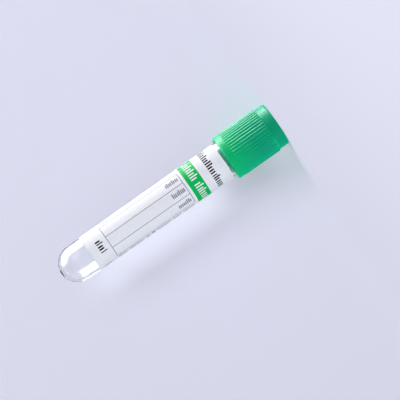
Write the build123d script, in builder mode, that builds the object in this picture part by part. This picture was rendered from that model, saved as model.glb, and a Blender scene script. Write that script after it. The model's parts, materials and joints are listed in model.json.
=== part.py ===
"""Blood collection tube, 13 x 75 mm, stood on its closure with its round end up. Millimetres, +Z up.

Four pieces share one upright axis: a clear moulded tube, its wrapped label, a ribbed cap and the rubber
stopper in the cap. A closed tube rolls when it lies down, so this one stands upside down, on the flat top of
its cap. A station is a distance down the axis from the round end. A radius is measured square to the axis,
and a turn is an angle about it, from the front (-Y) towards -X.
"""

from build123d import *

import os
from math import asin, cos, degrees, radians, sin

# ---- tube ----
tube_length = 75.0  # round end to rim
mouth_radius = 6.5  # outside, at the rim
tube_draft = 0.3  # how much smaller the outside radius is at the round end
tube_wall = 0.95
bottom_wall = 1.25  # through the round end, on the axis
land_margin = 1.4  # straight bore past the plug's nose
rim_round = 0.25
bore_lead_in = 0.3
nub_radius = 1.55  # gate nub on the round end
nub_height = 0.0  # over the round end's pole
nub_round = 0.12

# ---- label ----
label_start = 11.2
neck_gap = 1.3  # bare neck between the label and the cap
label_thickness = 0.1
adhesive_thickness = 0.01
label_wrap = 250.0  # degrees round the tube
label_turn = 35.0  # turn of the label's middle

# ---- cap ----
cap_length = 20.0
cap_overlap = 9.6  # how far the skirt comes past the rim
cap_wall = 0.95  # at the collar and the smooth panels
skirt_clearance = 0.45  # skirt bore to the tube's widest outside
skirt_chamfer = 0.4
collar_length = 2.0
collar_round = 0.2
band_step = 0.3  # from the collar in to the smooth end band, and to the floor between the ribs
band_length = 3.5
shoulder_round = 0.2
cap_edge_round = 0.45
port_radius = 4.0
port_chamfer = 0.3

# ---- grip ribs ----
rib_proud = 0.1  # crest above the collar
rib_radius = 0.3
rib_end_round = 0.35
rib_end_gap = 0.15  # rib to collar, and rib to band
rib_pitch = 7.5  # degrees
ribs_per_sector = 17
rib_sectors = 2
sector_turn = -41.25  # turn of the first sector's middle
hoop_wall = 0.3  # hoop that ties the ribs together, inside the cap's wall
hoop_depth = 0.05  # below the floor between the ribs

# ---- stopper ----
plug_length = 10.6
plug_clearance = 0.05  # running fit in the bore
plug_nose_chamfer = 0.6
plug_wall = 2.5  # round the hollow in the plug's nose
hollow_depth = 3.0
flange_clearance = 0.25  # flange to the skirt's bore
flange_thickness = 2.0
head_lip = 1.0  # how far the cap's port holds over the head
head_length = 5.4
head_clearance = 0.02  # head to the cap's sleeve
head_wall = 2.0  # round the needle well
well_depth = 2.5

# ---- worked out from the sizes above ----
end_radius = mouth_radius - tube_draft
bore_radius = mouth_radius - tube_wall
bore_end_radius = end_radius - tube_wall
bore_end_centre = bottom_wall + bore_end_radius
land_start = tube_length - plug_length - land_margin
nub_turn = degrees(asin(nub_radius / end_radius))
wall_taper = (mouth_radius - end_radius) / (tube_length - end_radius)

skirt_radius = mouth_radius + skirt_clearance
cap_radius = skirt_radius + cap_wall
band_radius = cap_radius - band_step
cap_start = tube_length - cap_overlap
cap_end = cap_start + cap_length
band_start = cap_end - band_length
grip_start = cap_start + collar_length
label_end = cap_start - neck_gap

plug_start = tube_length - plug_length
plug_radius = bore_radius - plug_clearance
hollow_radius = plug_radius - plug_wall
flange_radius = skirt_radius - flange_clearance
flange_top = tube_length + flange_thickness
head_radius = port_radius + head_lip
head_top = flange_top + head_length
well_radius = head_radius - head_wall
sleeve_radius = head_radius + head_clearance

crest_radius = cap_radius + rib_proud
rib_start = grip_start + rib_end_gap
rib_end = band_start - rib_end_gap
hoop_radius = band_radius - hoop_depth
rib_span = (ribs_per_sector - 1) * rib_pitch
grip_span = rib_span + rib_pitch
sector_pitch = 360.0 / rib_sectors
panel_turn = sector_turn - sector_pitch / 2  # middle of a smooth panel, where the cap's seam lies

# ---- place: the cap's end stands on the floor, and the stations run down to it ----
pole = Vector(0, 0, cap_end)
along = Vector(0, 0, -1)
front = Vector(0, -1, 0)
sideways = Vector(-1, 0, 0)
tube_axis = Axis(pole, along)


def outer_radius(station):
    """The tube's outside radius at a station on its straight, tapered wall."""
    return end_radius + wall_taper * (station - end_radius)


def outwards(turn):
    """The direction away from the axis at this turn."""
    return front * cos(radians(turn)) + sideways * sin(radians(turn))


def half_plane(turn):
    """A plane that holds the axis: local X runs down it, and local Y points outwards at this turn."""
    return Plane(origin=pole, x_dir=along, z_dir=along.cross(outwards(turn)))


def cross_plane(station, turn):
    """A plane square to the axis, whose local X points outwards at this turn and whose angles add to it."""
    return Plane(origin=pole + along * station, x_dir=outwards(turn), z_dir=along)


# ---- tube: one turned section, with gate nub, round end, tapered wall and a straight sealing land ----
with BuildPart() as tube:
    with BuildSketch(half_plane(0)) as section:
        with BuildLine():
            outside = CenterArc((end_radius, 0), end_radius, 90, 90 - nub_turn)
            inside = CenterArc((bore_end_centre, 0), bore_end_radius, 90, 90)
            Polyline(outside @ 1, (-nub_height, nub_radius), (-nub_height, 0), inside @ 1)
            Polyline(
                outside @ 0,
                (tube_length, mouth_radius),
                (tube_length, bore_radius),
                (land_start, bore_radius),
                inside @ 0,
            )
        make_face()
        fillet(section.vertices().group_by(Axis.X)[-1].sort_by(Axis.Y)[-1], rim_round)
        chamfer(section.vertices().group_by(Axis.X)[-1].sort_by(Axis.Y)[0], bore_lead_in)
        fillet(section.vertices().group_by(Axis.X)[0].sort_by(Axis.Y)[-1], nub_round)
    revolve(axis=tube_axis)
tube.part.label = "tube"

# ---- label: a film that follows the tube's taper, part of the way round ----
with BuildPart() as label:
    with BuildSketch(half_plane(label_turn - label_wrap / 2)):
        with BuildLine():
            Polyline(
                (label_start, outer_radius(label_start) + adhesive_thickness),
                (label_end, outer_radius(label_end) + adhesive_thickness),
                (label_end, outer_radius(label_end) + adhesive_thickness + label_thickness),
                (label_start, outer_radius(label_start) + adhesive_thickness + label_thickness),
                close=True,
            )
        make_face()
    revolve(axis=tube_axis, revolution_arc=label_wrap)
label.part.label = "label"

# ---- stopper: plug with a hollow nose, flange that seats on the rim, and head with the needle well ----
with BuildPart() as stopper:
    with BuildSketch(half_plane(0)):
        with BuildLine():
            Polyline(
                (plug_start + hollow_depth, 0),
                (plug_start + hollow_depth, hollow_radius),
                (plug_start, hollow_radius),
                (plug_start, plug_radius - plug_nose_chamfer),
                (plug_start + plug_nose_chamfer, plug_radius),
                (tube_length, plug_radius),
                (tube_length, flange_radius),
                (flange_top, flange_radius),
                (flange_top, head_radius),
                (head_top, head_radius),
                (head_top, well_radius),
                (head_top - well_depth, well_radius),
                (head_top - well_depth, 0),
                close=True,
            )
        make_face()
    revolve(axis=tube_axis)
stopper.part.label = "stopper"

# ---- grip: a hoop inside the cap's wall that carries the ribs, in sectors with smooth panels between ----
with BuildPart() as grip:
    with BuildSketch(cross_plane(rib_start, panel_turn)):
        Circle(hoop_radius)
        Circle(hoop_radius - hoop_wall, mode=Mode.SUBTRACT)
        for sector in range(rib_sectors):
            past_panel = (sector + 0.5) * sector_pitch - rib_span / 2
            crest_circle = crest_radius - rib_radius
            with PolarLocations(crest_circle, ribs_per_sector, past_panel, rib_span, endpoint=True):
                Circle(rib_radius)
    extrude(amount=rib_end - rib_start)
    for station, inwards in ((rib_start, 1), (rib_end, -1)):
        with BuildSketch(half_plane(panel_turn)):
            with BuildLine():
                centre = (station + inwards * rib_end_round, crest_radius - rib_end_round)
                rounding = CenterArc(centre, rib_end_round, 90, 90 * inwards)
                above_crest = rounding @ 0 + (0, rib_end_round)
                Polyline(rounding @ 1, (station, above_crest.Y), above_crest, rounding @ 0)
            make_face()
        revolve(axis=tube_axis, mode=Mode.SUBTRACT)

# ---- cap: skirt over the rim, ledge on the flange, sleeve round the head, and an end band with the port ----
with BuildPart() as cap:
    with BuildSketch(half_plane(panel_turn)) as section:
        with BuildLine():
            Polyline(
                (cap_start, skirt_radius + skirt_chamfer),
                (cap_start, cap_radius),
                (band_start, cap_radius),
                (band_start, band_radius),
                (cap_end, band_radius),
                (cap_end, port_radius + port_chamfer),
                (cap_end - port_chamfer, port_radius),
                (head_top, port_radius),
                (head_top, sleeve_radius),
                (flange_top, sleeve_radius),
                (flange_top, skirt_radius),
                (cap_start + skirt_chamfer, skirt_radius),
                close=True,
            )
        make_face()
        fillet(section.vertices().group_by(Axis.X)[-1].sort_by(Axis.Y)[-1], cap_edge_round)
        fillet(section.vertices().group_by(Axis.X)[0].sort_by(Axis.Y)[-1], collar_round)
        fillet(section.vertices().group_by(Axis.Y)[-1].sort_by(Axis.X)[-1], shoulder_round)
    revolve(axis=tube_axis)
    for sector in range(rib_sectors):
        with BuildSketch(half_plane(sector_turn + sector * sector_pitch - grip_span / 2)):
            with BuildLine():
                Polyline(
                    (grip_start, band_radius),
                    (band_start, band_radius),
                    (band_start, crest_radius),
                    (grip_start, crest_radius),
                    close=True,
                )
            make_face()
        revolve(axis=tube_axis, revolution_arc=grip_span, mode=Mode.SUBTRACT)
    add(grip.part)
cap.part.label = "cap"

os.makedirs("parts", exist_ok=True)
export_step(tube.part, "parts/tube.step")
export_step(label.part, "parts/label.step")
export_step(cap.part, "parts/cap.step")
export_step(stopper.part, "parts/stopper.step")
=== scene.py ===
"""Looks of the blood collection tube: clear wall, printed label, ribbed cap and rubber stopper, with a stage.

Every length is in metres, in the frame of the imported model: +Z up the tube's axis, the cap's flat end on the
floor, and -Y the front. A turn is an angle about the axis, in degrees from the front towards -X.
"""

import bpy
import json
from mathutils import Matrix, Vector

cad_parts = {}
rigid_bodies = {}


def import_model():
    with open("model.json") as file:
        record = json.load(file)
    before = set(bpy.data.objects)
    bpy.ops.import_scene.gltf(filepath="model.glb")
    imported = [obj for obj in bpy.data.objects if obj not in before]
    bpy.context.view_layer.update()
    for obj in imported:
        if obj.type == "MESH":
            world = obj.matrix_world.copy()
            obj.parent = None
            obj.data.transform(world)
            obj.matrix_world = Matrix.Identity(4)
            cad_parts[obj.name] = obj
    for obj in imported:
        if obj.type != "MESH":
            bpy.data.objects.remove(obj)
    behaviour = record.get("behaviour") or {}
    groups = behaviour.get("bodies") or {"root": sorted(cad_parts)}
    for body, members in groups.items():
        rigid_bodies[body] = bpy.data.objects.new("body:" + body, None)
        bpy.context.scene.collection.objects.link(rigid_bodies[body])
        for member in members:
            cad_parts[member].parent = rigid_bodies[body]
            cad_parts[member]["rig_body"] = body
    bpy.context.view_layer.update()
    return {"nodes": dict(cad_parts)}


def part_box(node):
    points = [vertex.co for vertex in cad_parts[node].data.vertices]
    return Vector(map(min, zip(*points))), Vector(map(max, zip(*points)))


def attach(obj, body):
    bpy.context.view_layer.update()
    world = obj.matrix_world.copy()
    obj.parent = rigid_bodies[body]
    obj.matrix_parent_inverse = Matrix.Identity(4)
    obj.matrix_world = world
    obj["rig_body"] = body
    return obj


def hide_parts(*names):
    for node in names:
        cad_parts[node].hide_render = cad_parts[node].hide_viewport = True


bl_info = {
    "name": "Sample Tube",
    "version": (1, 0, 0),
    "blender": (4, 5, 0),
    "location": "3D View > Sidebar > Sample Tube",
    "description": "Builds a capped sample tube with a printed label round its construction model",
    "category": "Object",
}

import json

import bpy
import numpy as np
from bpy.props import FloatProperty, FloatVectorProperty, IntProperty, PointerProperty
from bpy.types import Operator, Panel, PropertyGroup
from mathutils import Matrix, Vector

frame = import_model()

MM = 0.001

TURNED_COLUMNS = 192  # round the tube and the stopper
RIB_COLUMNS = 14  # round the cap, for each rib pitch
LABEL_COLUMNS, LABEL_ROWS = 241, 101
DOME_STEPS = 40  # from a dome's pole to its widest ring
TUBE_SPACING = 0.8 * MM  # longest run of the tube's outline
STOPPER_SPACING = 0.6 * MM
EDGE = 0.1 * MM  # small edges that need no property
FLOOR_DROP = 0.02 * MM  # keeps the floor just under the cap
PRINT_RADIUS = 6.4  # millimetres, at which a turn on the label becomes a length of print
PRINT_MAP = 10.0  # units of the label's print map in a metre
HANDLING = "handling marks"
LAMP_AIM = Vector((0.0, 0.0, 0.04))


def widest(node):
    """The largest distance of a CAD node's points from the tube's axis."""
    mesh = frame["nodes"][node].data
    co = np.empty(len(mesh.vertices) * 3)
    mesh.vertices.foreach_get("co", co)
    return float(np.hypot(co[0::3], co[1::3]).max())


TUBE_LOW, TUBE_HIGH = (corner.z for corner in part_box("tube"))
LABEL_LOW, LABEL_HIGH = (corner.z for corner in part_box("label"))
CAP_LOW, CAP_HIGH = (corner.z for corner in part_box("cap"))
STOPPER_LOW, STOPPER_HIGH = (corner.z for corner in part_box("stopper"))


def length(name, text, millimetres):
    """A length property, with its default given in millimetres."""
    return FloatProperty(
        name=name, description=text, default=millimetres * MM, precision=5, subtype="DISTANCE", unit="LENGTH"
    )


def angle(name, text, degrees):
    """An angle property in degrees."""
    return FloatProperty(name=name, description=text + ", in degrees", default=degrees, precision=2)


def share(name, text, value):
    """A property between nothing and all."""
    return FloatProperty(name=name, description=text, default=value, min=0.0, max=1.0, subtype="FACTOR")


def lamp_power(name, which, watts):
    """The power of a lamp."""
    return FloatProperty(name=name, description="Power of the " + which, default=watts, unit="POWER")


def colour(name, text, value):
    """A linear colour property."""
    return FloatVectorProperty(
        name=name, description=text, default=value, size=3, min=0.0, max=1.0, subtype="COLOR"
    )


# ---- sizes and colours ----


class TubeSettings(PropertyGroup):
    """The clear moulded tube."""

    mouth_radius: length("Mouth radius", "Outside radius at the rim", widest("tube") / MM)
    end_radius: length("End radius", "Radius of the round end", 6.2)
    wall: length("Wall", "Thickness of the side wall", 0.95)
    bottom_wall: length("Bottom wall", "Thickness of the round end on the axis", 1.25)
    straight_bore: length("Straight bore", "Length of the bore at the mouth that has no taper", 12.0)
    rim_round: length("Rim round", "Radius of the rim's outer edge", 0.25)
    bore_lead_in: length("Bore lead-in", "Chamfer of the rim's inner edge", 0.3)
    nub_radius: length("Nub radius", "Radius of the gate nub on the round end", 1.55)
    nub_height: length("Nub height", "Height of the gate nub over the round end's pole", 0.0)
    nub_round: length("Nub round", "Radius of the nub's edge", 0.06)
    nub_crown: length("Nub crown", "How far the nub's face drops from its middle to its edge", 0.1)
    nub_dimple: length("Nub dimple", "Depth of the broken gate's mark in the nub", 0.04)
    tint: colour("Tint", "Colour of the clear plastic", (0.99, 0.993, 0.998))
    refraction: FloatProperty(name="Refraction", description="Index of refraction", default=1.57)


class LabelSettings(PropertyGroup):
    """The wrapped label and its print."""

    thickness: length("Thickness", "Thickness of the film", 0.1)
    gap: length("Adhesive", "Thickness of the adhesive under the film", 0.01)
    middle: angle("Middle", "Turn of the label's middle", 35.0)
    wrap: angle("Wrap", "How far the label goes round", 250.0)
    film: colour("Film", "Colour of the bare film", (0.86, 0.865, 0.88))
    black_ink: colour("Black ink", "Colour of the bold print", (0.012, 0.012, 0.018))
    grey_ink: colour("Grey ink", "Colour of the ruled lines and small print", (0.11, 0.11, 0.135))
    green_ink: colour("Green ink", "Colour of the band", (0.002, 0.50, 0.10))


class CapSettings(PropertyGroup):
    """The ribbed cap."""

    crest_radius: length("Crest radius", "Radius over the ribs", widest("cap") / MM)
    rib_proud: length("Rib proud", "Height of the ribs over the collar", 0.1)
    rib_height: length("Rib height", "Height of the ribs over the floor between them", 0.22)
    rib_width: length("Rib width", "Width of a rib at its foot", 0.9)
    rib_end_round: length("Rib end round", "Radius of the ribs' ends at the band", 0.35)
    rib_end_gap: length("Rib end gap", "Gap from a rib to the band", 0.12)
    rib_run_out: length("Rib run-out", "Length over which the ribs' floor rises to the collar", 0.7)
    rib_pitch: angle("Rib pitch", "Angle from rib to rib", 7.5)
    ribs_per_sector: IntProperty(name="Ribs per sector", description="Ribs in each ribbed sector", default=17)
    sectors: IntProperty(name="Sectors", description="Ribbed sectors round the cap", default=2)
    sector_turn: angle("Sector turn", "Turn of the first sector's middle", -41.25)
    collar: length("Collar", "Length of the smooth collar at the open end", 2.0)
    collar_round: length("Collar round", "Radius of the collar's edge", 0.2)
    step: length("Step", "Step from the collar in to the band", 0.3)
    shoulder: length("Shoulder", "Length of the soft step between the smooth panels and the band", 0.5)
    band: length("Band", "Length of the smooth band at the closed end", 3.5)
    edge_round: length("Edge round", "Radius of the closed end's edge", 0.45)
    wall: length("Wall", "Thickness at the collar", 0.95)
    skirt_chamfer: length("Skirt chamfer", "Chamfer inside the open end", 0.4)
    port_radius: length("Port radius", "Radius of the needle port", 4.0)
    port_chamfer: length("Port chamfer", "Chamfer of the needle port", 0.3)
    sleeve_radius: length("Sleeve radius", "Bore round the stopper's head", 5.02)
    ledge: length("Ledge", "Height of the ledge on the stopper's flange, over the floor", 8.4)
    plastic: colour("Plastic", "Colour of the moulded plastic round the stopper", (0.0, 0.165, 0.06))
    # Painted light: this paler colour towards the open end stands in for light shining through the thin skirt.
    skirt_with_painted_light: colour("Thin plastic", "Colour of the thin plastic of the skirt", (0.0, 0.36, 0.052))


class StopperSettings(PropertyGroup):
    """The rubber stopper."""

    plug_radius: length("Plug radius", "Radius of the plug", 5.5)
    nose_chamfer: length("Nose chamfer", "Chamfer of the plug's nose", 0.6)
    hollow_radius: length("Hollow radius", "Radius of the hollow in the plug's nose", 3.0)
    hollow_depth: length("Hollow depth", "Depth of that hollow", 3.0)
    flange_radius: length("Flange radius", "Radius of the flange", widest("stopper") / MM)
    flange: length("Flange", "Thickness of the flange", 2.0)
    head_radius: length("Head radius", "Radius of the head", 5.0)
    well_radius: length("Well radius", "Radius of the needle well", 3.0)
    well_depth: length("Well depth", "Depth of the needle well", 2.5)
    edge_round: length("Edge round", "Radius of the moulded edges", 0.2)
    rubber: colour("Rubber", "Colour of the rubber", (0.0, 0.43, 0.20))


class StageSettings(PropertyGroup):
    """Floor, backdrop, lamps and camera."""

    wall_gap: length("Wall gap", "From the tube's axis back to the backdrop", 13.5)
    reach: length("Reach", "How far the floor and backdrop go", 1600.0)
    surface: colour("Surface", "Colour of the floor and backdrop", (0.84, 0.825, 0.985))
    lift: share("Lift", "Brightness added to the floor and backdrop where they are looked at", 0.285)
    surround: share("Surround", "Brightness of the light from all round", 0.35)
    gloss_surround: share("Gloss surround", "Brightness of the surroundings that gloss shows", 0.16)
    # Painted light: the backdrop gives off this much extra brightness as a pool of light beside the tube,
    # where light passing through the tube would fall.
    painted_light_pool: share("Glow", "Brightness added where light that passes the tube falls on the backdrop", 0.32)
    key_power: lamp_power("Key power", "lamp at the side", 3.25)
    softbox_power: lamp_power("Softbox power", "lamp that only gloss and glass show", 16.0)
    rear_softbox_power: lamp_power("Rear softbox power", "lamp that only gloss shows", 38.0)
    edge_softbox_power: lamp_power("Edge softbox power", "lamp that only gloss near the edge shows", 9.0)
    shadow_power: lamp_power("Shadow lamp power", "lamp that casts the shadow", 3.3)
    fill_power: lamp_power("Fill power", "soft lamp opposite", 6.8)
    back_power: lamp_power("Back power", "soft lamp behind", 7.0)
    camera_distance: length("Camera distance", "From the tube's axis to the camera", 1500.0)
    camera_height: length("Camera height", "Height of the camera over the floor", 125.0)
    aim_side: length("Aim side", "How far to the -X side the camera aims", 6.2)
    aim_height: length("Aim height", "Height that the camera aims at", 34.64)
    picture_width: length("Picture width", "What the picture takes in at the tube's axis", 130.3)
    picture_slope: angle("Picture slope", "Slope of the tube's axis in the picture", 35.03)


# ---- surfaces ----


def arc(centre, radius, start, end, steps=8):
    """Points (r, z) on an arc: centre + radius (cos a, sin a), for a from start to end degrees."""
    a = np.radians(np.linspace(start, end, steps + 1))
    return np.column_stack([centre[0] + radius * np.cos(a), centre[1] + radius * np.sin(a)])


def upright(radius, heights):
    """Points (r, z) at one radius and these heights."""
    return np.column_stack([np.full(len(heights), radius), heights])


def filled(points, spacing):
    """The same outline, with long stretches divided at about the spacing and doubled points left out."""
    points = np.asarray(points, float)
    runs = np.hypot(*np.diff(points, axis=0).T)
    points = points[np.concatenate([[True], runs > 1e-9])]
    runs = runs[runs > 1e-9]
    steps = np.maximum(1, np.ceil(runs / spacing)).astype(int)
    place = np.concatenate([i + np.arange(n) / n for i, n in enumerate(steps)] + [[len(steps)]])
    knots = np.arange(len(points))
    return np.column_stack([np.interp(place, knots, points[:, k]) for k in (0, 1)])


def placed(name, data):
    """A new object in the scene for a mesh, lamp or camera."""
    obj = bpy.data.objects.new(name, data)
    bpy.context.scene.collection.objects.link(obj)
    return obj


def new_object(name, vertices, *faces, sharp=35.0):
    """A smooth-shaded object from its vertices, and from one array of faces for each number of corners.

    Its faces are turned outwards: each is cut into triangles (a, b, c) from its first corner, and the sum of
    a . (b x c), six times the volume, is made positive. Edges that turn by more than sharp degrees stay hard.
    """
    volume = 0.0
    for corners in faces:
        a, *others = np.moveaxis(vertices[corners], 1, 0)
        for b, c in zip(others, others[1:]):
            volume += np.sum(a * np.cross(b, c))
    if volume < 0:
        faces = [corners[:, ::-1] for corners in faces]
    numbers = np.concatenate([corners.ravel() for corners in faces]).astype(np.int32)
    sizes = np.concatenate([np.full(len(corners), corners.shape[1]) for corners in faces])
    mesh = bpy.data.meshes.new(name)
    mesh.vertices.add(len(vertices))
    mesh.vertices.foreach_set("co", vertices.astype(np.float32).ravel())
    mesh.loops.add(len(numbers))
    mesh.loops.foreach_set("vertex_index", numbers)
    mesh.polygons.add(len(sizes))
    mesh.polygons.foreach_set("loop_start", (np.cumsum(sizes) - sizes).astype(np.int32))
    mesh.update(calc_edges=True)
    mesh.validate()
    mesh.shade_smooth()
    mesh.set_sharp_from_angle(angle=np.radians(sharp))
    return placed(name, mesh)


def grid_faces(rows, columns, wrap_rows, wrap_columns):
    """Quads of a grid whose vertex (i, j) has number i * columns + j, closed on itself where it wraps."""
    i = np.arange(rows if wrap_rows else rows - 1)[:, None]
    j = np.arange(columns if wrap_columns else columns - 1)[None, :]
    below, beside = (i + 1) % rows, (j + 1) % columns
    corners = [i * columns + j, i * columns + beside, below * columns + beside, below * columns + j]
    return np.stack(corners, -1).reshape(-1, 4)


def places(radius, turn, height):
    """Points at these radii, turns in degrees and heights: (-r sin t, -r cos t, z)."""
    t = np.radians(turn)
    return np.stack(np.broadcast_arrays(-radius * np.sin(t), -radius * np.cos(t), height), -1)


def turned(name, outline):
    """A solid of revolution, whose outline (r, z) starts and ends on the axis.

    Point (i, j) is outline point i at turn j. Each end of the outline is one point, and its faces are a fan.
    """
    j = np.arange(TURNED_COLUMNS)
    rings = outline[1:-1]
    vertices = places(rings[:, :1], j * 360.0 / TURNED_COLUMNS, rings[:, 1:]).reshape(-1, 3)
    poles = places(np.zeros(2), 0.0, outline[[0, -1], 1])
    quads = grid_faces(len(rings), TURNED_COLUMNS, False, True)
    beside = (j + 1) % TURNED_COLUMNS
    pole = np.full(TURNED_COLUMNS, len(vertices))
    last = (len(rings) - 1) * TURNED_COLUMNS
    first_fan = np.column_stack([pole, beside, j])
    last_fan = np.column_stack([pole + 1, last + j, last + beside])
    return new_object(name, np.vstack([vertices, poles]), quads, np.vstack([first_fan, last_fan]))


def tube_outline(t):
    """The tube's section from the tip of the nub round the rim to the bore's pole.

    Outside: nub, sphere of the end radius, straight taper to the mouth. Inside: straight bore, taper, sphere.
    The nub's face is a parabola, less a dimple exp(-(r / w)^2) where w is 0.4 of the nub's radius.
    """
    pole = TUBE_HIGH - t.nub_height
    nub_angle = np.degrees(np.arccos(t.nub_radius / t.end_radius))
    r = np.linspace(0, t.nub_radius - t.nub_round, 13)
    dimple = t.nub_dimple * np.exp(-((r / (0.4 * t.nub_radius)) ** 2))
    button = np.column_stack([r, TUBE_HIGH - t.nub_crown * (r / r[-1]) ** 2 - dimple])
    edge = arc((r[-1], TUBE_HIGH - t.nub_crown - t.nub_round), t.nub_round, 90, 0)
    outside = arc((0, pole - t.end_radius), t.end_radius, nub_angle, 0, DOME_STEPS)
    rim = arc((t.mouth_radius - t.rim_round, TUBE_LOW + t.rim_round), t.rim_round, 0, -90)
    bore = t.mouth_radius - t.wall
    end_bore = t.end_radius - t.wall
    inside = arc((0, pole - t.bottom_wall - end_bore), end_bore, 0, 90, DOME_STEPS)
    lead_in = [(bore + t.bore_lead_in, TUBE_LOW), (bore, TUBE_LOW + t.bore_lead_in)]
    land = [(bore, TUBE_LOW + t.straight_bore)]
    return filled(np.vstack([button, edge, outside, rim, lead_in, land, inside]), TUBE_SPACING)


def outer_radius(t, height):
    """The tube's outside radius at a height on its tapered wall."""
    centre = TUBE_HIGH - t.nub_height - t.end_radius
    return t.end_radius + (t.mouth_radius - t.end_radius) * (centre - height) / (centre - TUBE_LOW)


def stopper_outline(p):
    """The stopper's section, from the hollow's middle round nose, flange and head to the well's middle."""
    rim = TUBE_LOW
    flange_low = rim - p.flange
    e = p.edge_round
    hollow_top = STOPPER_HIGH - p.hollow_depth
    well_top = STOPPER_LOW + p.well_depth
    outline = [
        [(0, hollow_top), (p.hollow_radius - e, hollow_top)],
        arc((p.hollow_radius - e, hollow_top + e), e, -90, 0, 5),
        arc((p.hollow_radius + e, STOPPER_HIGH - e), e, 180, 90, 5),
        arc((p.plug_radius - p.nose_chamfer - e, STOPPER_HIGH - e), e, 90, 45, 4),
        arc((p.plug_radius - e, STOPPER_HIGH - p.nose_chamfer - e), e, 45, 0, 4),
        [(p.plug_radius, rim + e / 4), (p.plug_radius + e / 4, rim)],
        arc((p.flange_radius - e, rim - e), e, 90, 0, 5),
        arc((p.flange_radius - e, flange_low + e), e, 0, -90, 5),
        [(p.head_radius + e / 4, flange_low), (p.head_radius, flange_low - e / 4)],
        arc((p.head_radius - e, STOPPER_LOW + e), e, 0, -90, 5),
        arc((p.well_radius + e, STOPPER_LOW + e), e, -90, -180, 5),
        arc((p.well_radius - e, well_top - e), e, 0, 90, 5),
        [(0, well_top)],
    ]
    return filled(np.vstack(outline), STOPPER_SPACING)


def label_object(name, t, p):
    """The film: point (i, j) is point i of its section's loop at turn j, and a strip closes each end.

    The loop runs down the outer face and back up the inner one, and both follow the tube's taper. The print
    map holds the length round the tube from the front line, and the length down it from the pole.
    """
    turn = p.middle + np.linspace(-0.5, 0.5, LABEL_COLUMNS) * p.wrap
    height = np.linspace(LABEL_HIGH, LABEL_LOW, LABEL_ROWS)
    inner = outer_radius(t, height) + p.gap
    radius = np.concatenate([inner + p.thickness, inner[::-1]])
    loop_height = np.concatenate([height, height[::-1]])
    count = len(radius)
    vertices = places(radius[:, None], turn[None, :], loop_height[:, None]).reshape(-1, 3)
    i = np.arange(LABEL_ROWS - 1)
    strip = np.stack([i, i + 1, count - 2 - i, count - 1 - i], -1) * LABEL_COLUMNS
    grid = grid_faces(count, LABEL_COLUMNS, True, False)
    faces = np.vstack([grid, strip, strip[:, ::-1] + LABEL_COLUMNS - 1])
    obj = new_object(name, vertices, faces)
    mesh = obj.data
    numbers = np.empty(len(mesh.loops), np.int32)
    mesh.loops.foreach_get("vertex_index", numbers)
    around = np.radians(turn) * PRINT_RADIUS * MM
    down = TUBE_HIGH - t.nub_height - loop_height
    print_map = np.stack(np.broadcast_arrays(around[None, :], down[:, None]), -1).reshape(-1, 2)
    layer = mesh.uv_layers.new(name="print")
    layer.data.foreach_set("uv", (print_map[numbers] * PRINT_MAP).astype(np.float32).ravel())
    centres = np.empty(len(mesh.polygons) * 3)
    mesh.polygons.foreach_get("center", centres)
    x, y, z = centres.reshape(-1, 3).T
    plain = np.hypot(x, y) < outer_radius(t, z) + p.gap + p.thickness * 0.75
    mesh.polygons.foreach_set("material_index", plain.astype(np.int32))
    return obj


def smooth_step(x, low, high):
    """0 below low, 1 above high, and 3 u^2 - 2 u^3 between them."""
    u = np.clip((x - low) / (high - low), 0, 1)
    return u * u * (3 - 2 * u)


def rib_columns(p):
    """Turns for the cap's columns, evenly spaced over each rib pitch, with one on each crest."""
    pitches = int(round(360.0 / p.rib_pitch))
    first = p.sector_turn - (p.ribs_per_sector - 1) / 2 * p.rib_pitch
    return first + np.arange(pitches * RIB_COLUMNS) * p.rib_pitch / RIB_COLUMNS


def grip_radius(p, turn, low, high, height):
    """The grip's radius, in a sector the floor with ribs and in a panel the collar's radius.

    A rib is r = floor + (crest - floor) (1/2 + 1/2 cos(pi x / w)), for x from -w to w across it. It starts at
    the band in a quarter circle, and the floor rises to the collar.
    """
    collar = p.crest_radius - p.rib_proud
    band = collar - p.step
    floor = p.crest_radius - p.rib_height
    spacing = 360.0 / p.sectors
    from_middle = (turn - p.sector_turn + spacing / 2) % spacing - spacing / 2
    half_span = p.ribs_per_sector * p.rib_pitch / 2
    soft = np.degrees(2 * EDGE / collar)
    in_sector = 1 - smooth_step(np.abs(from_middle), half_span - soft, half_span + soft)
    from_rib = (from_middle + half_span) % p.rib_pitch - p.rib_pitch / 2
    x = np.radians(from_rib) * collar / (p.rib_width / 2)
    rib = 0.5 + 0.5 * np.cos(np.pi * np.clip(x, -1, 1))
    near = np.clip(p.rib_end_round - (height - low - p.rib_end_gap), 0, p.rib_end_round)
    run_out = smooth_step(height, high - p.rib_run_out, high)
    crest = p.crest_radius - p.rib_end_round + np.sqrt(p.rib_end_round**2 - near**2)
    crest = crest - p.rib_proud * run_out
    rising = floor + (collar - floor) * run_out
    ribbed = np.maximum(band, np.minimum(rising + (p.crest_radius - floor) * rib, crest))
    ribbed = np.where(height < low + p.rib_end_gap, band, ribbed)
    panel = band + (collar - band) * smooth_step(height - low, -EDGE, p.shoulder)
    return np.where(height > high, collar, in_sector * ribbed + (1 - in_sector) * panel)


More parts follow.
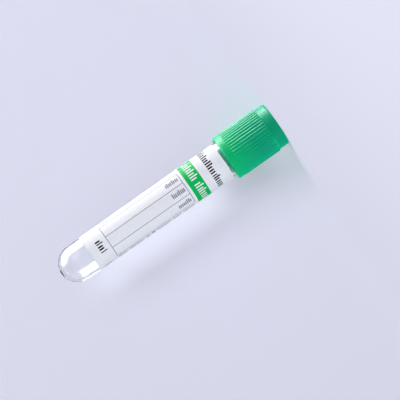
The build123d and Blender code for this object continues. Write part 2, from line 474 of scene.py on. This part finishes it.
def cap_object(name, p):
    """The cap: point (i, j) is point i of its section's loop at turn j.

    The loop runs from the needle port over the closed end, the band and the grip to the skirt's lip, and back
    inside to the port. The grip's rows take their radius from both their height and the turn.
    """
    collar = p.crest_radius - p.rib_proud
    band = collar - p.step
    skirt = collar - p.wall
    port, sleeve, ledge = p.port_radius, p.sleeve_radius, CAP_LOW + p.ledge
    low, high = CAP_LOW + p.band, CAP_HIGH - p.collar
    band_edge, collar_edge = CAP_LOW + p.edge_round, CAP_HIGH - p.collar_round
    rounding = p.rib_end_gap + p.rib_end_round * (1 - np.cos(np.linspace(0, np.pi / 2, 8)))
    foot = low + np.concatenate([[-EDGE, 0.0, p.rib_end_gap - EDGE / 10], rounding])
    straight = np.linspace(foot[-1], high - p.rib_run_out, 14)[1:]
    run_out = high - p.rib_run_out * np.linspace(1, 0, 9)[1:]
    grip = np.concatenate([foot, straight, run_out])
    before = [
        [(port, CAP_LOW + p.port_chamfer), (port + p.port_chamfer, CAP_LOW)],
        [(port + 1.2 * MM, CAP_LOW), (band - p.edge_round - 0.4 * MM, CAP_LOW)],
        arc((band - p.edge_round, band_edge), p.edge_round, -90, 0),
        upright(band, np.linspace(band_edge, low - EDGE, 8)[1:-1]),
    ]
    after = [
        upright(collar, np.linspace(high, collar_edge, 5)[1:-1]),
        arc((collar - p.collar_round, collar_edge), p.collar_round, 0, 90, 6),
        [(skirt + p.skirt_chamfer, CAP_HIGH), (skirt, CAP_HIGH - p.skirt_chamfer)],
        [(skirt, CAP_HIGH - 4 * MM), (skirt, ledge + EDGE), (skirt - EDGE, ledge)],
        [(sleeve + EDGE, ledge), (sleeve, ledge - EDGE)],
        [(sleeve, STOPPER_LOW), (port, STOPPER_LOW)],
    ]
    turn = rib_columns(p)
    rows = np.vstack([*before, upright(collar, grip), *after])
    radius = np.broadcast_to(rows[:, :1], (len(rows), len(turn))).copy()
    grip_start = len(np.vstack(before))
    ribbed = slice(grip_start, grip_start + len(grip))
    radius[ribbed] = grip_radius(p, turn[None, :], low, high, grip[:, None])
    vertices = places(radius, turn[None, :], rows[:, 1:]).reshape(-1, 3)
    return new_object(name, vertices, grid_faces(len(rows), len(turn), True, True), sharp=50.0)


# ---- shader helpers ----


class Sheet:
    """A node tree that is written as a formula: most methods add a node and return its output socket."""

    def __init__(self, tree):
        self.tree = tree

    def feed(self, node, inputs):
        """Links a node's inputs, by name or number, to sockets, or sets them to plain values."""
        for key, value in inputs.items():
            if isinstance(value, bpy.types.NodeSocket):
                self.tree.links.new(value, node.inputs[key])
            else:
                node.inputs[key].default_value = value

    def node(self, kind, inputs=None, **settings):
        """A new node with these settings and inputs."""
        made = self.tree.nodes.new(kind)
        for key, value in settings.items():
            setattr(made, key, value)
        self.feed(made, inputs or {})
        return made

    def math(self, operation, *values, clamp=False):
        """One Math node."""
        inputs = dict(enumerate(values))
        return self.node("ShaderNodeMath", inputs, operation=operation, use_clamp=clamp).outputs[0]

    def within(self, value, low, high, soft):
        """1 where the value lies between low and high, with edges that are soft wide."""
        rise = self.math("MULTIPLY_ADD", value, 1 / soft, 0.5 - low / soft, clamp=True)
        fall = self.math("MULTIPLY_ADD", value, -1 / soft, 0.5 + high / soft, clamp=True)
        return self.math("MULTIPLY", rise, fall)

    def both(self, first, *masks):
        """The product of these masks."""
        for mask in masks:
            first = self.math("MULTIPLY", first, mask)
        return first

    def either(self, first, *masks):
        """The largest of these masks."""
        for mask in masks:
            first = self.math("MAXIMUM", first, mask)
        return first

    def mix(self, mask, first, second):
        """The first colour where the mask is 0 and the second where it is 1."""
        return self.node("ShaderNodeMix", {0: mask, 6: first, 7: second}, data_type="RGBA").outputs[2]

    def mix_shaders(self, mask, first, second):
        """The first shader where the mask is 0 and the second where it is 1."""
        inputs = {0: mask, 1: first.outputs[0], 2: second.outputs[0]}
        return self.node("ShaderNodeMixShader", inputs).outputs[0]

    def noise(self, place, scale, detail, roughness, distortion=0.0):
        """Noise between 0 and 1, with about scale features to a metre."""
        names = ("Vector", "Scale", "Detail", "Roughness", "Distortion")
        inputs = dict(zip(names, (place, scale, detail, roughness, distortion)))
        return self.node("ShaderNodeTexNoise", inputs).outputs["Fac"]

    def spread(self, value, low, high, to_low=0.0, to_high=1.0, smooth=False):
        """The value carried from one range to another, evenly or smoothly, and kept inside it."""
        inputs = dict(enumerate((value, low, high, to_low, to_high)))
        kind = "SMOOTHSTEP" if smooth else "LINEAR"
        return self.node("ShaderNodeMapRange", inputs, interpolation_type=kind).outputs[0]

    def parts(self, place):
        """The three parts of a place."""
        return self.node("ShaderNodeSeparateXYZ", {0: place}).outputs

    def group(self, tree, **inputs):
        """A group node's outputs, with its inputs given by name."""
        return self.node("ShaderNodeGroup", inputs, node_tree=tree).outputs

    def looked_at(self):
        """Light Path's outputs, where the eye looks through glass, and where it looks at all."""
        path = self.node("ShaderNodeLightPath").outputs
        past_glass = self.math("GREATER_THAN", path["Transmission Depth"], 0.5)
        through = self.both(past_glass, self.math("SUBTRACT", 1.0, path["Is Diffuse Ray"]))
        return path, through, self.either(path["Is Camera Ray"], through)


class Finish(Sheet):
    """A new material's own sheet, with its Principled shader, its output and the place on the piece."""

    def __init__(self, name):
        self.material = bpy.data.materials.new(name)
        self.material.use_nodes = True
        super().__init__(self.material.node_tree)
        self.tree.nodes.clear()
        self.shader = self.node("ShaderNodeBsdfPrincipled")
        self.output = self.node("ShaderNodeOutputMaterial", {"Surface": self.shader.outputs[0]})
        self.place = self.node("ShaderNodeTexCoord").outputs["Object"]

    def handled(self, roughness, smudges, scratches):
        """The roughness with marks of handling on it, and the marks' height."""
        tree = bpy.data.node_groups.get(HANDLING) or handling_group()
        marks = self.group(tree, Place=self.place, Smudges=smudges, Scratches=scratches)
        return self.math("ADD", marks["Roughness"], roughness), marks["Height"]

    def look(self, **inputs):
        """Feeds the shader's inputs, whose names have an underline for each space here."""
        self.feed(self.shader, {key.replace("_", " "): value for key, value in inputs.items()})

    def clouded(self, first, second, scale, detail, roughness, low, high):
        """The first colour with clouds of the second, where the noise rises from low to high."""
        cloud = self.noise(self.place, scale, detail, roughness)
        return self.mix(self.spread(cloud, low, high), first, second)

    def bump(self, height, strength, distance):
        """Tilts the shader's normal by a height, of which 1 is this distance."""
        inputs = {"Height": height, "Strength": strength, "Distance": distance}
        self.look(Normal=self.node("ShaderNodeBump", inputs).outputs[0])


def new_group(name, inputs, outputs):
    """A shader node group with these sockets: its sheet, what it is given by name, and its output node."""
    tree = bpy.data.node_groups.new(name, "ShaderNodeTree")
    for side, sockets in (("INPUT", inputs), ("OUTPUT", outputs)):
        for key, kind in sockets.items():
            tree.interface.new_socket(name=key, in_out=side, socket_type="NodeSocket" + kind)
    sheet = Sheet(tree)
    return sheet, sheet.node("NodeGroupInput").outputs, sheet.node("NodeGroupOutput")


def rgba(value, factor=1.0, lift=0.0):
    """A colour property as four numbers, made lighter or darker by a factor and a lift, and at most 1."""
    return (*(min(1.0, lift + factor * part) for part in value), 1.0)


def handling_group():
    """Marks of handling: soft smudges and fine scratches, as a roughness to add and a height."""
    sheet, given, taken = new_group(
        HANDLING,
        {"Place": "Vector", "Smudges": "Float", "Scratches": "Float"},
        {"Roughness": "Float", "Height": "Float"},
    )
    place = given["Place"]
    smudge = sheet.spread(sheet.noise(place, 160, 4.0, 0.6, 0.4), 0.42, 0.72)
    along_tube = {"Vector": place, "Rotation": (0.35, 0.2, 0.6), "Scale": (1.0, 1.0, 0.035)}
    stretched = sheet.node("ShaderNodeMapping", along_tube).outputs[0]
    line = sheet.noise(stretched, 5200, 2.0, 0.4)
    broken = sheet.noise(place, 420, 2.0, 0.5)
    scratch = sheet.both(sheet.spread(line, 0.66, 0.72), sheet.spread(broken, 0.52, 0.6))
    rough = sheet.math("MULTIPLY", smudge, given["Smudges"])
    rough = sheet.math("MULTIPLY_ADD", scratch, given["Scratches"], rough)
    sheet.feed(taken, {"Roughness": rough, "Height": sheet.math("MULTIPLY", scratch, -1.0)})
    return sheet.tree


def strokes_group():
    """A line of print as plain upright strokes, which stand for words and can't be read.

    The line is divided into cells of the pitch, with one stroke in each. A random number for each cell makes
    its stroke reach the whole height or three quarters of it, and another moves it a little within the cell.
    """
    names = ("Along", "Across", "Pitch", "Height", "Weight", "Seed")
    sheet, given, taken = new_group("print strokes", dict.fromkeys(names, "Float"), {"Mask": "Float"})
    place = sheet.math("ADD", sheet.math("DIVIDE", given["Along"], given["Pitch"]), given["Seed"])
    cell, part = sheet.math("FLOOR", place), sheet.math("FRACT", place)
    random = sheet.node("ShaderNodeTexWhiteNoise", {"W": cell}, noise_dimensions="1D").outputs["Color"]
    numbers = sheet.node("ShaderNodeSeparateColor", {0: random}).outputs
    short, short_share, play = 0.74, 0.72, 0.16
    side_sharpness, end_sharpness = 12.0, 16.0
    tall = sheet.math("GREATER_THAN", numbers[2], short_share)
    reach = sheet.math("MULTIPLY_ADD", tall, 1 - short, short)
    level = sheet.math("DIVIDE", given["Across"], given["Height"])
    low = sheet.math("MULTIPLY_ADD", level, end_sharpness, 0.5, clamp=True)
    below_top = sheet.math("SUBTRACT", reach, level)
    high = sheet.math("MULTIPLY_ADD", below_top, end_sharpness, 0.5, clamp=True)
    shift = sheet.math("MULTIPLY_ADD", numbers[1], play, -0.5 - play / 2)
    from_middle = sheet.math("ABSOLUTE", sheet.math("ADD", part, shift))
    half = sheet.math("MULTIPLY", given["Weight"], 0.5)
    inside = sheet.math("SUBTRACT", half, from_middle)
    stroke = sheet.math("MULTIPLY_ADD", inside, side_sharpness, 0.5, clamp=True)
    sheet.feed(taken, {"Mask": sheet.both(stroke, low, high)})
    return sheet.tree


def print_group(p):
    """The label's print, from the place in millimetres: Around from the front line, Down from the pole.

    A ruled table with three rows and a short word in each, a bold word by the round end, a wide band with
    pale words, a bold title, and rows of fine print past the table. All words are plain strokes.
    """
    sheet, given, taken = new_group(
        "label print",
        {"Around": "Float", "Down": "Float", "Film": "Color"},
        {"Color": "Color", "Ink": "Float"},
    )
    strokes = strokes_group()
    around, down, film = given["Around"], given["Down"], given["Film"]
    left, right = ((p.middle + side * p.wrap / 2) * np.pi / 180 * PRINT_RADIUS for side in (-1, 1))
    first_row, row, rows = -5.85, 4.22, 3
    first_fine_row, fine_row, fine_rows = 7.4, 1.2, 6
    table_start, table_end, line = 18.3, 49.0, 0.19
    soft, count_soft = 0.05, 0.01
    # Each kind of print: the pitch and height of its strokes, and their weight as a share of the pitch.
    name_print, fine_print, corner_print = (0.62, 1.75, 0.62), (0.5, 0.72, 0.6), (0.5, 0.7, 0.6)
    volume_print, title_print, pale_print = (0.92, 2.4, 0.62), (0.9, 2.4, 0.6), (0.94, 2.85, 0.45)
    name_foot, fine_foot, corner_foot, volume_foot, title_foot, pale_foot = 2.8, 0.85, -6.95, 14.3, 58.1, 51.6

    def less(first, second):
        """The first value less the second."""
        return sheet.math("SUBTRACT", first, second)

    def words(along, across, kind, seed, *spans):
        """A line of strokes in these spans along it, from 0 to its height across it."""
        looks = dict(zip(("Pitch", "Height", "Weight"), kind))
        mask = sheet.group(strokes, Along=along, Across=across, Seed=seed, **looks)["Mask"]
        return sheet.both(mask, sheet.either(*(sheet.within(along, *span, soft) for span in spans)))

    def rows_of_words(place, pitch, count, foot, kind, seed, *spans):
        """As many rows of strokes in these spans down the tube. The place round it is counted in rows."""
        number = sheet.math("FLOOR", place)
        across = less(foot, sheet.math("MULTIPLY", sheet.math("FRACT", place), pitch))
        strokes_shown = words(down, across, kind, sheet.math("MULTIPLY", number, seed), *spans)
        return sheet.both(strokes_shown, sheet.within(number, -0.5, count - 0.5, count_soft))

    def ruled_from(value, first, last):
        """1 from the first to the last of two ruled lines, with both."""
        return sheet.within(value, first - line / 2, last + line / 2, soft)

    in_table = ruled_from(down, table_start, table_end)
    in_rows = ruled_from(around, first_row, first_row + rows * row)
    row_place = sheet.math("DIVIDE", less(around, first_row), row)
    from_line = sheet.math("ABSOLUTE", less(row_place, sheet.math("ROUND", row_place)))
    ruled = sheet.within(from_line, -1.0, line / 2 / row, soft / row)
    ends = sheet.either(*(ruled_from(down, place, place) for place in (table_start, table_end)))
    table = sheet.either(sheet.both(ruled, in_table, in_rows), sheet.both(ends, in_rows))

    names = rows_of_words(row_place, row, rows, name_foot, name_print, 37.0, (43.5, 48.3))
    fine_place = sheet.math("DIVIDE", less(around, first_fine_row), fine_row)
    starts = (12.9, 18.6, 22.9, 29.4, 33.8, 40.0, 44.2)
    ends_at = (16.0, 21.9, 28.6, 31.2, 39.0, 42.9, 48.4)
    fine_spans = zip(starts, ends_at)
    fine = rows_of_words(fine_place, fine_row, fine_rows, fine_foot, fine_print, 91.0, *fine_spans)
    corner = words(down, less(corner_foot, around), corner_print, 3.0, (18.6, 22.4))
    grey = sheet.either(table, names, fine, corner)

    volume_spans = ((-2.3, -0.75), (-0.45, 1.45), (1.8, 2.3))
    volume = words(around, less(down, volume_foot), volume_print, 0.46, *volume_spans)
    title = words(around, less(down, title_foot), title_print, 5.0, (-8.9, 1.6), (2.15, 8.3))
    mark = sheet.both(sheet.within(down, 31.8, 32.9, soft), sheet.within(around, 7.5, 8.15, soft))
    black = sheet.either(volume, title, mark)

    on_film = sheet.within(around, left + 1.0, right - 1.0, soft)
    band = sheet.both(sheet.within(down, 50.1, 55.1, soft), on_film)
    pale_spans = ((-8.9, 0.1), (0.8, 9.1), (9.9, 13.5))
    pale = words(around, less(down, pale_foot), pale_print, 23.0, *pale_spans)
    shown = sheet.mix(sheet.math("MULTIPLY", grey, 0.92), film, rgba(p.grey_ink))
    shown = sheet.mix(band, shown, rgba(p.green_ink))
    shown = sheet.mix(sheet.both(pale, band), shown, film)
    shown = sheet.mix(black, shown, rgba(p.black_ink))
    sheet.feed(taken, {"Color": shown, "Ink": sheet.either(grey, black, band)})
    return sheet.tree


# ---- finishes ----


def clear_plastic(t):
    """Clear moulded plastic: smooth, faintly smudged and slightly wavy. Lamps shine through it."""
    sheet = Finish("clear plastic")
    sheet.look(
        Base_Color=rgba(t.tint),
        Roughness=sheet.handled(0.05, 0.035, 0.08)[0],
        IOR=t.refraction,
        Transmission_Weight=1.0,
    )
    sheet.bump(sheet.noise(sheet.place, 190, 2.0, 0.4), 0.06, 0.05 * MM)
    through = sheet.node("ShaderNodeBsdfTransparent", {"Color": (0.93, 0.94, 0.95, 1.0)})
    to_lamp = sheet.node("ShaderNodeLightPath").outputs["Is Shadow Ray"]
    sheet.feed(sheet.output, {"Surface": sheet.mix_shaders(to_lamp, sheet.shader, through)})
    return sheet.material


def printed_film(p):
    """The label's outer face: white film with its print, satin, with a faint fibre grain."""
    sheet = Finish("printed film")
    where = sheet.parts(sheet.node("ShaderNodeUVMap", uv_map="print").outputs[0])
    around, down = (sheet.math("MULTIPLY", where[i], 1 / (PRINT_MAP * MM)) for i in (0, 1))
    film = sheet.clouded(rgba(p.film), rgba(p.film, 0.955), 900, 4.0, 0.6, 0.35, 0.7)
    inks = sheet.group(print_group(p), Around=around, Down=down, Film=film)
    plain, _ = sheet.handled(0.5, 0.12, 0.05)
    sheet.look(
        Base_Color=inks["Color"],
        Roughness=sheet.math("MULTIPLY_ADD", inks["Ink"], -0.08, plain),
        Specular_IOR_Level=0.06,
    )
    fibres = sheet.noise(sheet.place, 6000, 3.0, 0.6)
    sheet.bump(sheet.math("MULTIPLY_ADD", inks["Ink"], 0.4, fibres), 0.12, 0.02 * MM)
    return sheet.material


def bare_film(p):
    """The label's edges and the adhesive side, which shows white through the tube."""
    sheet = Finish("bare film")
    sheet.look(
        Base_Color=sheet.clouded(rgba(p.film), rgba(p.film, 0.93), 420, 4.0, 0.65, 0.35, 0.7),
        Roughness=sheet.handled(0.5, 0.15, 0.0)[0],
        Specular_IOR_Level=0.06,
    )
    return sheet.material


def green_plastic(p):
    """The cap's moulded plastic: satin and finely textured. It is paler towards the open end, painted light
    that shines through the thin skirt, and paler on the rib crests, partly wear and partly painted highlight.
    """
    sheet = Finish("green plastic")
    cloud = sheet.math("MULTIPLY_ADD", sheet.noise(sheet.place, 210, 4.0, 0.6, 0.5), 0.5, -0.25)
    # Painted light: the plastic turns paler towards the open end, standing in for light shining through the
    # thin skirt.
    thin = sheet.spread(sheet.parts(sheet.place)[2], 9.0 * MM, 19.5 * MM)
    body = sheet.mix(sheet.math("ADD", thin, cloud, clamp=True), rgba(p.plastic), rgba(p.skirt_with_painted_light))
    # Lighter crests: partly wear, partly a painted highlight along each rib.
    edges = sheet.node("ShaderNodeNewGeometry").outputs["Pointiness"]
    wear_and_painted_crest_light = sheet.spread(edges, 0.505, 0.545, 0.0, 0.65)
    rough, scratches = sheet.handled(0.34, 0.1, 0.08)
    sheet.look(
        Base_Color=sheet.mix(wear_and_painted_crest_light, body, rgba(p.plastic, 3.2)),
        Roughness=rough,
        IOR=1.5,
        Specular_IOR_Level=0.2,
        Sheen_Weight=1.0,
        Sheen_Roughness=0.82,
        Sheen_Tint=(0.0, 1.0, 0.55, 1.0),
    )
    grain = sheet.noise(sheet.place, 5200, 2.0, 0.5)
    sheet.bump(sheet.math("ADD", grain, scratches), 0.02, 0.012 * MM)
    return sheet.material


def stopper_rubber(p):
    """The stopper's rubber: green and matt, with a fine grain and a bloom of paler dust."""
    sheet = Finish("stopper rubber")
    sheet.look(
        Base_Color=sheet.clouded(rgba(p.rubber), rgba(p.rubber, 1.3, 0.006), 700, 5.0, 0.65, 0.4, 0.75),
        Roughness=sheet.handled(0.55, 0.12, 0.0)[0],
        Specular_IOR_Level=0.08,
    )
    sheet.bump(sheet.noise(sheet.place, 3800, 3.0, 0.6), 0.3, 0.02 * MM)
    return sheet.material


# ---- stage ----


def backdrop(s):
    """Floor and backdrop as one sheet: a section of floor and wall, carried along X.

    Both are shaded as if they faced the way between them, so that they show as one even surface. A painted
    pool of light lies on the wall beside the tube, where light that passes through the tube would fall, and
    painted light brightens the corner where the floor meets the wall, over the shade that falls there.
    """
    section = np.array([(-s.reach, 0.0), (s.wall_gap, 0.0), (s.wall_gap, s.reach)]) - (0.0, FLOOR_DROP)
    x = np.array([-s.reach, s.reach])
    points = np.empty((len(section), len(x), 3))
    points[:, :, 0] = x
    points[:, :, 1:] = section[:, None, :]
    mesh = bpy.data.meshes.new("backdrop")
    faces = grid_faces(len(section), len(x), False, False)
    mesh.from_pydata(points.reshape(-1, 3).tolist(), [], faces.tolist())
    mesh.shade_smooth()
    obj = placed("backdrop", mesh)
    sheet = Finish("backdrop")
    between = sheet.node("ShaderNodeCombineXYZ", {1: -np.sqrt(0.5), 2: np.sqrt(0.5)}).outputs[0]
    sheet.look(Base_Color=rgba(s.surface), Roughness=1.0, Specular_IOR_Level=0.0, Normal=between)
    path, through, seen = sheet.looked_at()
    side, depth, height = sheet.parts(sheet.place)

    def rise(value, low, high):
        """0 below low and 1 above high, both in millimetres, with a smooth step between them."""
        return sheet.spread(value, low * MM, high * MM, smooth=True)

    def fall(value, low, high):
        """1 below low and 0 above high, in the same way."""
        return sheet.spread(value, low * MM, high * MM, 1.0, 0.0, smooth=True)

    # Painted light: a pool of emitted brightness on the wall beside the tube, where light through the tube
    # would fall.
    beside = sheet.both(rise(side, -18, -9), fall(side, -8, 4))
    passed = sheet.both(rise(height, 18, 34), fall(height, 62, 88))
    # Painted light: the wall's foot and the floor next to it are brightened near the corner, over the shade
    # that falls there.
    foot = sheet.both(fall(height, 0, 14), rise(depth, 3, 9))
    foot = sheet.math("MULTIPLY", foot, sheet.math("MULTIPLY_ADD", beside, 0.4, 0.05))
    painted_light_pool = sheet.either(sheet.both(beside, passed), foot)
    strength = sheet.math("MULTIPLY", seen, sheet.math("MULTIPLY_ADD", painted_light_pool, s.painted_light_pool, s.lift))
    lift = sheet.node("ShaderNodeEmission", {"Color": (0.86, 0.89, 1.0, 1.0), "Strength": strength})
    lit = sheet.node("ShaderNodeAddShader", {0: sheet.shader.outputs[0], 1: lift.outputs[0]})
    behind = sheet.node("ShaderNodeNewGeometry").outputs["Backfacing"]
    mirrored = sheet.math("SUBTRACT", path["Is Glossy Ray"], through, clamp=True)
    clear = sheet.node("ShaderNodeBsdfTransparent")
    sheet.feed(sheet.output, {"Surface": sheet.mix_shaders(sheet.either(behind, mirrored), lit, clear)})
    mesh.materials.append(sheet.material)
    return obj


def leave_out(collection, obj):
    """A new collection of this name that leaves the object out, for a lamp's links."""
    made = bpy.data.collections.new(collection)
    made.objects.link(obj)
    made.collection_objects[0].light_linking.link_state = "EXCLUDE"
    return made


def lamp(name, place, size, power, tint=(1.0, 1.0, 1.0)):
    """A soft rectangular lamp for matt surfaces, facing the middle of the tube."""
    data = bpy.data.lights.new(name, "AREA")
    data.shape = "RECTANGLE"
    data.size, data.size_y = size
    data.energy = power
    data.color = tint
    obj = placed(name, data)
    obj.location = place
    obj.rotation_euler = (LAMP_AIM - Vector(place)).to_track_quat("-Z", "Y").to_euler()
    obj.visible_camera = obj.visible_glossy = obj.visible_transmission = False
    return obj


def softbox(name, place, size, power, through_glass):
    """A rectangular lamp that only gloss shows, and glass too where it is asked.

    It lights nothing by way of them, and it isn't seen straight through the tube.
    """
    obj = lamp(name, place, size, power)
    obj.visible_diffuse = False
    obj.visible_glossy, obj.visible_transmission = True, through_glass
    obj.data.use_nodes = True
    obj.data.node_tree.nodes.clear()
    sheet = Sheet(obj.data.node_tree)
    path = sheet.node("ShaderNodeLightPath").outputs
    first = sheet.math("LESS_THAN", path["Diffuse Depth"], 0.5)
    past_bore = sheet.math("GREATER_THAN", path["Transmission Depth"], 2.5)
    straight = sheet.both(past_bore, sheet.math("LESS_THAN", path["Glossy Depth"], 0.5))
    strength = sheet.both(first, sheet.math("SUBTRACT", 1.0, straight))
    light = sheet.node("ShaderNodeEmission", {"Strength": strength})
    sheet.node("ShaderNodeOutputLight", {"Surface": light.outputs[0]})
    return obj


def surroundings(s):
    """The light from all round, with the backdrop's own colour where it is looked at."""
    world = bpy.data.worlds.new("surroundings")
    bpy.context.scene.world = world
    world.use_nodes = True
    world.node_tree.nodes.clear()
    sheet = Sheet(world.node_tree)
    path, _, seen = sheet.looked_at()
    level = sheet.math("MULTIPLY_ADD", path["Is Glossy Ray"], s.gloss_surround - s.surround, s.surround)
    light = sheet.node("ShaderNodeBackground", {"Color": (0.92, 0.96, 1.0, 1.0), "Strength": level})
    shown = sheet.node("ShaderNodeBackground", {"Color": rgba(s.surface)})
    sheet.node("ShaderNodeOutputWorld", {"Surface": sheet.mix_shaders(seen, light, shown)})


def camera(s):
    """A camera in front of the tube, rolled so that the axis slopes up to the cap at the picture's right."""
    data = bpy.data.cameras.new("camera")
    place = Vector((0, -s.camera_distance, s.camera_height))
    aim = Vector((-s.aim_side, 0, s.aim_height))
    back = (place - aim).normalized()
    slope = np.radians(s.picture_slope)
    down = Vector((0, 0, -1))
    level = (down - back * down.dot(back)).normalized()
    right = level * np.cos(slope) - back.cross(level) * np.sin(slope)
    data.lens = data.sensor_width * (place - aim).length / s.picture_width
    data.clip_start, data.clip_end = 0.05, 20.0
    obj = placed("camera", data)
    axes = Matrix((right, back.cross(right), back)).transposed()
    obj.matrix_world = Matrix.Translation(place) @ axes.to_4x4()
    bpy.context.scene.camera = obj


# ---- operators ----


def finish_piece(obj, materials, node):
    """Gives the piece its materials, and has it stand for its CAD node and ride on that node's body."""
    for material in materials:
        obj.data.materials.append(material)
    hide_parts(node)
    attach(obj, frame["nodes"][node]["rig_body"])


class SAMPLETUBE_OT_tube(Operator):
    """Build the clear tube with its round end, gate nub and rim"""

    bl_idname = "sample_tube.make_tube"
    bl_label = "Clear tube"

    def execute(self, context):
        t = context.scene.sample_tube
        obj = turned("clear_tube", tube_outline(t))
        finish_piece(obj, [clear_plastic(t)], "tube")
        return {"FINISHED"}


class SAMPLETUBE_OT_label(Operator):
    """Build the label that wraps the tube, with its print"""

    bl_idname = "sample_tube.make_label"
    bl_label = "Label"

    def execute(self, context):
        p = context.scene.sample_tube_label
        obj = label_object("printed_label", context.scene.sample_tube, p)
        finish_piece(obj, [printed_film(p), bare_film(p)], "label")
        return {"FINISHED"}


class SAMPLETUBE_OT_cap(Operator):
    """Build the ribbed cap with its skirt, band and needle port"""

    bl_idname = "sample_tube.make_cap"
    bl_label = "Ribbed cap"

    def execute(self, context):
        p = context.scene.sample_tube_cap
        obj = cap_object("ribbed_cap", p)
        finish_piece(obj, [green_plastic(p)], "cap")
        return {"FINISHED"}


class SAMPLETUBE_OT_stopper(Operator):
    """Build the rubber stopper with its plug, flange and head"""

    bl_idname = "sample_tube.make_stopper"
    bl_label = "Rubber stopper"

    def execute(self, context):
        p = context.scene.sample_tube_stopper
        obj = turned("rubber_stopper", stopper_outline(p))
        finish_piece(obj, [stopper_rubber(p)], "stopper")
        return {"FINISHED"}


class SAMPLETUBE_OT_stage(Operator):
    """Set the pale floor and backdrop, the soft lamps and the camera"""

    bl_idname = "sample_tube.make_stage"
    bl_label = "Stage"

    def execute(self, context):
        s = context.scene.sample_tube_stage
        sheet = backdrop(s)
        surroundings(s)
        key = lamp("key", place=(0.73, 0.06, 0.15), size=(0.24, 0.3), power=s.key_power)
        lamp("shadow_lamp", place=(0.52, -0.76, 0.42), size=(0.6, 0.6), power=s.shadow_power)
        fill_tint = (0.86, 0.92, 1.0)
        fill = lamp("fill", (-0.80, -0.50, 0.30), size=(0.9, 0.9), power=s.fill_power, tint=fill_tint)
        back = lamp("back", place=(0.10, 0.90, 0.45), size=(0.9, 0.9), power=s.back_power)
        front = softbox("softbox", (0.60, -0.08, 0.35), (0.18, 1.1), s.softbox_power, through_glass=True)
        rear = softbox("rear_softbox", (0.60, 0.13, 0.35), (0.22, 1.1), s.rear_softbox_power, False)
        edge = softbox("edge_softbox", (0.47, 0.38, 0.35), (0.34, 1.1), s.edge_softbox_power, False)
        not_the_sheet = leave_out("all but the backdrop", sheet)
        for side_lamp in (key, front, rear, edge, back):
            side_lamp.light_linking.blocker_collection = not_the_sheet
        for object_lamp in (key, fill, back):
            object_lamp.light_linking.receiver_collection = not_the_sheet
        not_the_tube = leave_out("all but the tube", bpy.data.objects["clear_tube"])
        edge.light_linking.receiver_collection = not_the_tube
        camera(s)
        context.scene.view_settings.view_transform = "Standard"
        return {"FINISHED"}


class SAMPLETUBE_PT_panel(Panel):
    """Lists the pieces and the stage"""

    bl_idname = "SAMPLETUBE_PT_panel"
    bl_label = "Sample Tube"
    bl_space_type = "VIEW_3D"
    bl_region_type = "UI"
    bl_category = "Sample Tube"

    def draw(self, context):
        for operator in OPERATORS:
            self.layout.operator(operator.bl_idname)


PIECES = (SAMPLETUBE_OT_tube, SAMPLETUBE_OT_label, SAMPLETUBE_OT_cap, SAMPLETUBE_OT_stopper)
OPERATORS = (*PIECES, SAMPLETUBE_OT_stage)
SETTINGS = {
    "sample_tube": TubeSettings,
    "sample_tube_label": LabelSettings,
    "sample_tube_cap": CapSettings,
    "sample_tube_stopper": StopperSettings,
    "sample_tube_stage": StageSettings,
}
CLASSES = (*SETTINGS.values(), *OPERATORS, SAMPLETUBE_PT_panel)


def register():
    """Registers the classes, and gives the scene its settings."""
    for group in CLASSES:
        bpy.utils.register_class(group)
    for name, group in SETTINGS.items():
        setattr(bpy.types.Scene, name, PointerProperty(type=group))


def unregister():
    """Takes the settings and the classes away again."""
    for name in SETTINGS:
        delattr(bpy.types.Scene, name)
    for group in reversed(CLASSES):
        bpy.utils.unregister_class(group)


def main():
    """Registers the add-on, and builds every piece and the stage."""
    register()
    bpy.ops.sample_tube.make_tube()
    bpy.ops.sample_tube.make_label()
    bpy.ops.sample_tube.make_cap()
    bpy.ops.sample_tube.make_stopper()
    bpy.ops.sample_tube.make_stage()


if __name__ == "__main__":
    main()
